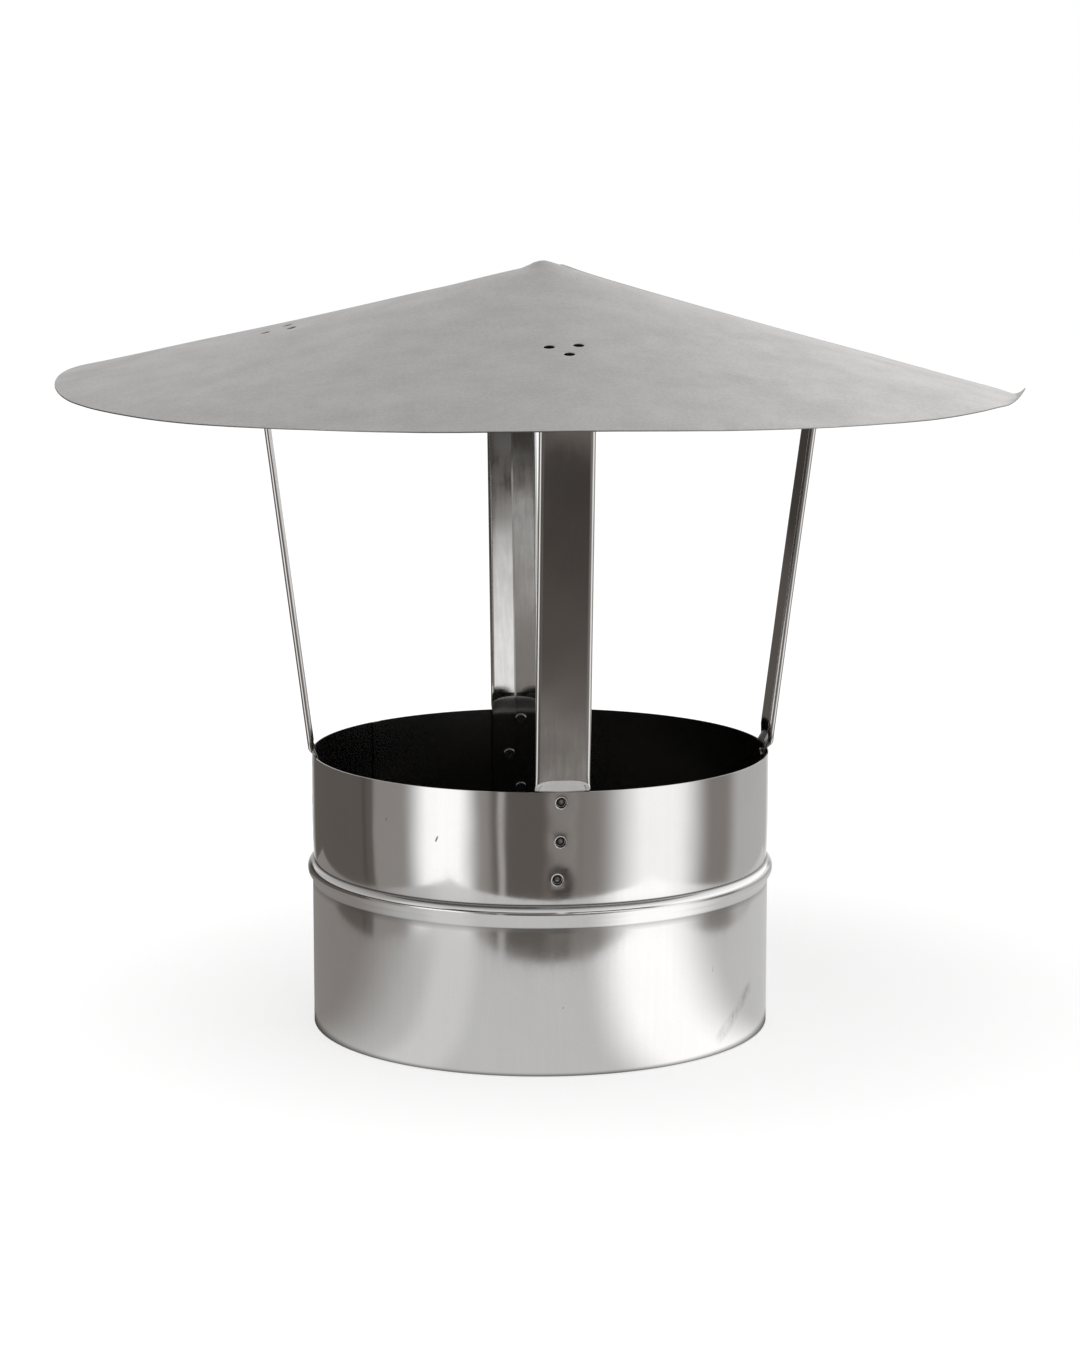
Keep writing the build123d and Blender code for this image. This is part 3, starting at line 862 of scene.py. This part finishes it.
def buttonTree():
    inputs = [("Spots", "Object"), ("Button", "Object"), ("Strip", "Float"), ("Finish", "Material")]
    inputs += [(label, "Float") for label in buttonLengths]
    given, add, combine, close = newTree("clinchButtons", inputs)[1:]
    spots, button = [
        add("GeometryNodeObjectInfo", {"Object": given[label]}, "Geometry") for label in ("Spots", "Button")
    ]
    aim = add("GeometryNodeInputNamedAttribute", {"Name": "aim"}, "Attribute", data_type="FLOAT_VECTOR")
    turn = add("FunctionNodeAlignRotationToVector", {"Vector": aim}, axis="Z")

    def placed(shape, scale=(1, 1, 1)):
        inputs = {"Points": spots, "Instance": shape, "Rotation": turn, "Scale": scale}
        return add("GeometryNodeRealizeInstances", {"Geometry": add("GeometryNodeInstanceOnPoints", inputs)})

    def solid(operation, inputs):
        return add("GeometryNodeMeshBoolean", inputs, "Mesh", operation=operation, solver="EXACT")

    radius = given["buttonRadius"]
    size = add("ShaderNodeCombineXYZ", {"X": radius, "Y": radius, "Z": given["buttonHeight"]})
    buttons = placed(button, size)

    # The nest reaches from outside the strip's face up into the button
    bottom = combine("MULTIPLY", given["Strip"], legSizes["nestReach"])
    deep = given["nestDepth"]
    form = {"Vertices": legSizes["roundSides"], "Radius": given["nestRadius"]}
    nest = add("GeometryNodeMeshCylinder", {**form, "Depth": combine("ADD", deep, bottom)}, "Mesh")
    middle = combine("MULTIPLY", combine("SUBTRACT", deep, bottom), 0.5)
    rise = add("ShaderNodeCombineXYZ", {"Z": middle})
    nests = placed(add("GeometryNodeTransform", {"Geometry": nest, "Translation": rise}))
    joined = solid("UNION", {"Mesh 2": [given["Geometry"], buttons]})
    return close(solid("DIFFERENCE", {"Mesh 1": joined, "Mesh 2": nests}))


def unitButton():
    # One button of radius 1 and height 1, round-edged, with its foot inside the strip
    outline = [
        (1.0, -0.45), (1.0, 0.45), (0.985, 0.68), (0.94, 0.84),
        (0.86, 0.95), (0.74, 1.0), (0.45, 0.985), (0.2, 0.955),
    ]
    count, rings = legSizes["roundSides"], len(outline)
    turns = [2 * pi * k / count for k in range(count)]
    points = [(r * cos(turn), r * sin(turn), z) for r, z in outline for turn in turns]
    faces = [tuple(reversed(range(count)))] + ringFaces(count, rings)
    faces.append(tuple(range((rings - 1) * count, rings * count)))
    mesh = bpy.data.meshes.new("unitButton")
    mesh.from_pydata(points, [], faces)
    return bpy.data.objects.new("unitButton", mesh)


def legShade(mesh, swing):
    # In the collar the folded side of a strip gets painted shade, as the flue's inside does, and the buttons
    # on it a little less
    s, c = legSizes, collarSizes
    places = np.empty(len(mesh.vertices) * 3, np.float32)
    mesh.vertices.foreach_get("co", places)
    x, y, z = (places.reshape(-1, 3) @ swing / mm).T
    out = np.clip((z - c["height"]) / s["flareHigh"], 0, 1)
    seat = s["seatRadius"] - neckIn(z)
    deep = seat + (faceAt(z) - seat) * out - np.hypot(x, y * (1 - out))
    foot = 1 - smoothStep(*s["shadeFade"], z - c["height"])
    onButton = (deep > 2 * s["flatFold"] + 0.1) & (z < c["height"] - 1)
    return foot * np.where(onButton, s["buttonShade"], s["footShade"] * (deep > 0.4))


def makeLeg(name, tree, button, material):
    s, c = legSizes, collarSizes
    outer, swing = legPoints(name, 1)
    inner = legPoints(name, -1)[0]
    faces = gridFaces(*outer.shape[:2])
    points, faces = thickSheet(outer.reshape(-1, 3), inner.reshape(-1, 3), faces)[:2]

    # Spots lie on the strip's inner side and aim away from the sheet that is clinched to it
    spots, aims = [], []
    strip = 2 * s["flatFold"]
    for drop, aside in zip(c["clinchDrops"], footWander[name]):
        turn = aside / c["radius"]
        z = c["height"] - drop
        ray = s["seatRadius"] - neckIn(z) - strip
        spots.append((ray * cos(turn), ray * sin(turn), z))
        aims.append((-cos(turn), -sin(turn), 0))
    for turn, reach in tabClinches():
        aim = squareDown(turn)
        spot = np.array([reach * cos(turn), reach * sin(turn), coneHeight(reach)])
        spots.append(spot + aim * (s["sheet"] + s["tabGap"] + strip))
        aims.append(aim)
    marks = bpy.data.meshes.new(name + "Spots")
    marks.from_pydata((withHat(np.array(spots) @ swing.T) * mm).tolist(), [], [])
    aim = marks.attributes.new("aim", "FLOAT_VECTOR", "POINT")
    aim.data.foreach_set("vector", (np.array(aims) @ swing.T).astype(np.float32).ravel())
    holder = bpy.data.objects.new(name + "Spots", marks)

    piece = newPiece(name, points, faces, material)
    values = {"Spots": holder, "Button": button, "Strip": strip * mm, "Finish": material}
    bakeTree(piece, tree, {**values, **{label: s[label] * mm for label in buttonLengths}})
    # Painted shade on the foot in the collar
    addValues(piece.data, "dull", legShade(piece.data, swing))
    shadeSheet(piece.data)
    bpy.data.objects.remove(holder)
    print(name + ":", len(piece.data.polygons), "faces")
    return piece


hatFinish, tubeFinish, stripFinish = hatSteel(), tubeSteel(), stripSteel()
rainHat = makeHat(hatFinish)
collarTube = makeCollar(tubeFinish)
clinchButtons, button = buttonTree(), unitButton()
legs = {name: makeLeg(name, clinchButtons, button, stripFinish) for name in legAzimuth}
bpy.data.objects.remove(button)

nodeNames = {"legRight": "leg_right", "legBack": "leg_back", "legLeft": "leg_left", "legFront": "leg_front"}
pieces = [(rainHat, "rain_hat", "hat_sheet"), (collarTube, "collar_tube", "collar_sheet")]
pieces += [(leg, nodeNames[name], "leg_strip") for name, leg in legs.items()]
for piece, node, finish in pieces:
    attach(piece, "root")
    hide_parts(node)
print("pieces placed")


# Studio: a pale floor that keeps the shadow, soft light, and cards that only the metal sees
studioSizes = {
    "floorReach": 20000.0,
    "floorTop": -0.2,
    "floorColour": 0.8,
    "floorGlow": 0.46,
    "worldLight": 0.7,
    "lampPower": 14.0,
    "lampPlace": (-500.0, -600.0, 2400.0),
    "lampAim": (0.0, 0.0, 100.0),
    "lampWidth": 2600.0,
    "table": 293.0,
    "tableCorner": 40.0,
    "tableHole": 99.8,
    "tableTop": -0.1,
    "tableLight": 0.6,
    # Painted contact shadow on the glowing table round the collar's foot: from, to and how dark
    "contactShadow": (99.5, 106.0, 0.2),
    "insideLight": 0.02,
    "roomRadius": 2200.0,
    "roomTop": 2600.0,
    "roomFoot": -1100.0,
    "roomLight": 0.115,
    "stripLight": 0.06,
    "skyLight": 0.7,
    "shadeTint": (1.0, 0.86, 0.76, 1.0),
    "shadeEnd": 0.5,
    "skyStart": 500.0,
    "skyFade": (1.2, 0.00025),
    "lowTop": -430.0,
    "capTop": -950.0,
    "stripFoot": 120.0,
    "stripTop": 900.0,
    "leftFade": (370.0, 530.0),
    "rightRise": (340.0, 460.0),
    "rightTop": 535.0,
}
# Soft cards that only the metal sees: from and to in degrees from the camera towards the right, how
# soft each end is, and how much light the card adds
roomCards = [
    (170, 192, 14, 14, 0.5), (-89, -26, 1.5, 6, 0.17), (-54, -41, 17, 14, 0.95), (-18.6, -17.4, 2, 2, 0.3),
    (-97, -96, 1.6, 1.6, -0.03), (9, 15, 8, 6, 0.13), (24, 168, 12, 12, 0.12), (54, 68, 28, 26, 0.88),
    (117, 160, 14, 14, 0.24),
]
# Painted light and shade on the glowing table top, by azimuth, in the same columns
tableCards = [(-150, -90, 40, 52, -0.34), (-40, -31, 10, 9, 0.1), (39, 53, 22, 34, 0.66)]
skyCards = [(60, 158, 45, 20, 0.41), (-145, -85, 12, 18, -0.24)]
# The strips look past the table's front edge, at cards listed by height, and back under the hat
frontStripCards = [(-560, -680, 0.03), (-680, -800, 0.06), (-770, -860, 0.16)]
backStripCards = [(20, 46, 8, 10, 0.98), (-24, 2, 8, 10, 0.19)]
backStripSides = [(9.5, 11.5, 2.5, 2.5, 0.6), (62, 150, 12, 12, 0.8)]
aheadCard, behindCard, wideCard = (9, 13, 7, 7, 1), (162, 198, 12, 12, 1), (-40, 60, 10, 10, 1)


def onlyMirrored(piece):
    # Seen in the metal, and by nothing else
    piece.visible_camera = piece.visible_diffuse = piece.visible_shadow = False
    piece.visible_transmission = piece.visible_volume_scatter = False


def bareMaterial(name):
    material, tree = newMaterial(name)
    tree.nodes.remove(tree.nodes["Principled BSDF"])
    return material, tree, tree.nodes["Material Output"].inputs["Surface"]


def glowing(name, strength):
    material, tree, surface = bareMaterial(name)
    glow = addNode(tree, "ShaderNodeEmission", {"Strength": strength})
    feed(tree, surface, glow.outputs[0])
    material.cycles.emission_sampling = "NONE"
    return material, tree, glow


def forCamera(tree, others, seen):
    # One value for the camera's own rays and another for all others
    ray = addNode(tree, "ShaderNodeLightPath").outputs["Is Camera Ray"]
    return setRange(tree, ray, 0, 1, others, seen)


def ringPoints(turns, reach, z):
    # Turns are counted from the camera, and reach is one value or one for each turn
    turns = np.radians(turns + cameraSizes["heading"])
    return list(np.stack([reach * np.sin(turns), -reach * np.cos(turns), np.full(len(turns), z)], 1))


def softCards(turns, cards, base=0):
    tone = np.full(len(turns), float(base))
    for start, end, softStart, softEnd, light in cards:
        gap = (turns - (start + end) / 2 + 180) % 360 - 180
        half = (end - start) / 2
        rise = smoothStep(-half - softStart, -half, gap)
        tone = tone + light * rise * (1 - smoothStep(half, half + softEnd, gap))
    return tone


def roomTone(turns, z):
    s, fade = studioSizes, studioSizes["skyFade"]
    room = softCards(turns, roomCards, s["roomLight"])
    sky = softCards(turns, skyCards, s["skyLight"]) * (fade[0] - fade[1] * (z - s["skyStart"]))
    if z > s["stripTop"]:
        return sky
    if z < s["lowTop"]:
        ahead = softCards(turns, [aheadCard]) if z > s["capTop"] else 1
        front = sum(light * smoothStep(-start, -end, -z) for start, end, light in frontStripCards)
        return room + (s["stripLight"] + front * (z > s["capTop"]) - room) * ahead
    if z > s["stripFoot"]:
        left, right = [softCards(turns, [card]) for card in backStripCards]
        strip = softCards(turns, backStripSides, s["stripLight"])
        rising = (1 + smoothStep(*s["rightRise"], z)) * (z < s["rightTop"])
        strip = strip + left * (1 - smoothStep(*s["leftFade"], z)) + right * rising
        if z > s["skyStart"]:
            other, wide = sky, softCards(turns, [wideCard])
        else:
            other, wide = room, 1 - softCards(turns, [behindCard])
        return other + (strip - other) * wide
    return room


def toneOf(tree, glow):
    # What is dark in the room is warm, and what is bright is white
    tone = addNode(tree, "ShaderNodeAttribute", attribute_name="tone").outputs["Fac"]
    level = setRange(tree, tone, 0, studioSizes["shadeEnd"], 0, 1)
    feed(tree, glow.inputs["Color"], mixTwo(tree, "RGBA", level, studioSizes["shadeTint"], (1, 1, 1, 1)))
    return tone


def makeStudio():
    s = studioSizes
    world = bpy.data.worlds.new("studio")
    scene.world = world
    world.use_nodes = True
    tree = world.node_tree
    back = tree.nodes["Background"].inputs
    back["Color"].default_value = (1, 1, 1, 1)
    feed(tree, back["Strength"], forCamera(tree, s["worldLight"], 1))

    # Floor: plain and pale, lifted to white for the camera, and not mirrored beyond the table
    finish, tree, surface = bareMaterial("paleFloor")
    plain = addNode(tree, "ShaderNodeBsdfDiffuse", {"Color": (s["floorColour"],) * 3 + (1,)}).outputs[0]
    glow = addNode(tree, "ShaderNodeEmission", {"Strength": forCamera(tree, 0, s["floorGlow"])}).outputs[0]
    feed(tree, surface, addNode(tree, "ShaderNodeAddShader", {0: plain, 1: glow}).outputs[0])
    far, top = s["floorReach"], s["floorTop"]
    corners = [(-far, -far, top), (far, -far, top), (far, far, top), (-far, far, top)]
    floor = newPiece("floor", corners, [(0, 1, 2, 3)], finish)
    floor.visible_glossy = False

    # Table top: a glowing card that only the metal sees, standing in for a lit table, with painted light and
    # shade by azimuth and a painted contact shadow round the collar's foot
    finish, tree, glow = glowing("tableTop", 1.0)
    place = addNode(tree, "ShaderNodeTexCoord").outputs["Object"]
    length = addNode(tree, "ShaderNodeVectorMath", {0: place}, operation="LENGTH").outputs["Value"]
    near, far, least = s["contactShadow"]
    shade = setRange(tree, length, near * mm, far * mm, least, 1, "SMOOTHSTEP")
    light = addNode(tree, "ShaderNodeMath", {0: shade, 1: toneOf(tree, glow)}, operation="MULTIPLY")
    feed(tree, glow.inputs["Strength"], light.outputs[0])
    turns = np.arange(360)
    angle = np.radians(turns + cameraSizes["heading"])
    flat = (s["table"] - s["tableCorner"]) / np.maximum(abs(np.cos(angle)), abs(np.sin(angle)))
    edge = ringPoints(turns, flat + s["tableCorner"], s["tableTop"])
    hole = ringPoints(turns, s["tableHole"], s["tableTop"])
    table = newPiece("tableTop", edge + hole, ringFaces(360, 2), finish)
    addValues(table.data, "tone", np.tile(softCards(turns, tableCards, s["tableLight"]), 2))
    onlyMirrored(table)
    inside = glowing("insideShade", s["insideLight"])[0]
    onlyMirrored(newPiece("insideShade", hole, [tuple(range(360))], inside))

    # Room: a round wall of cards, and even light above it
    finish, tree, glow = glowing("roomCards", 1.0)
    feed(tree, glow.inputs["Strength"], toneOf(tree, glow))
    turns = np.arange(0, 360, 0.75)
    heights = [s["roomFoot"], -1000, -900, *range(-860, -640, 20), -560, -490, -425, -340, 100, 140]
    heights += [*range(300, 500, 10), *range(510, 560, 10), 700, 880, 960, 1300, 1700, s["roomTop"]]
    points = [point for z in heights for point in ringPoints(turns, s["roomRadius"], z)]
    count, last = len(turns), len(points) - len(turns)
    faces = ringFaces(count, len(heights)) + [tuple(range(count)), tuple(range(last, last + count))]
    room = newPiece("room", points, faces, finish)
    addValues(room.data, "tone", np.concatenate([roomTone(turns, z) for z in heights]))
    onlyMirrored(room)

    lamp = bpy.data.lights.new("softLamp", "AREA")
    lamp.energy = s["lampPower"]
    lamp.shape = "DISK"
    lamp.size = s["lampWidth"] * mm
    hanging = bpy.data.objects.new("softLamp", lamp)
    hanging.location = Vector(s["lampPlace"]) * mm
    aim = Vector(s["lampAim"]) * mm - hanging.location
    hanging.rotation_euler = aim.to_track_quat("-Z", "Y").to_euler()
    hanging.visible_glossy = False
    scene.collection.objects.link(hanging)


makeStudio()
print("studio made")
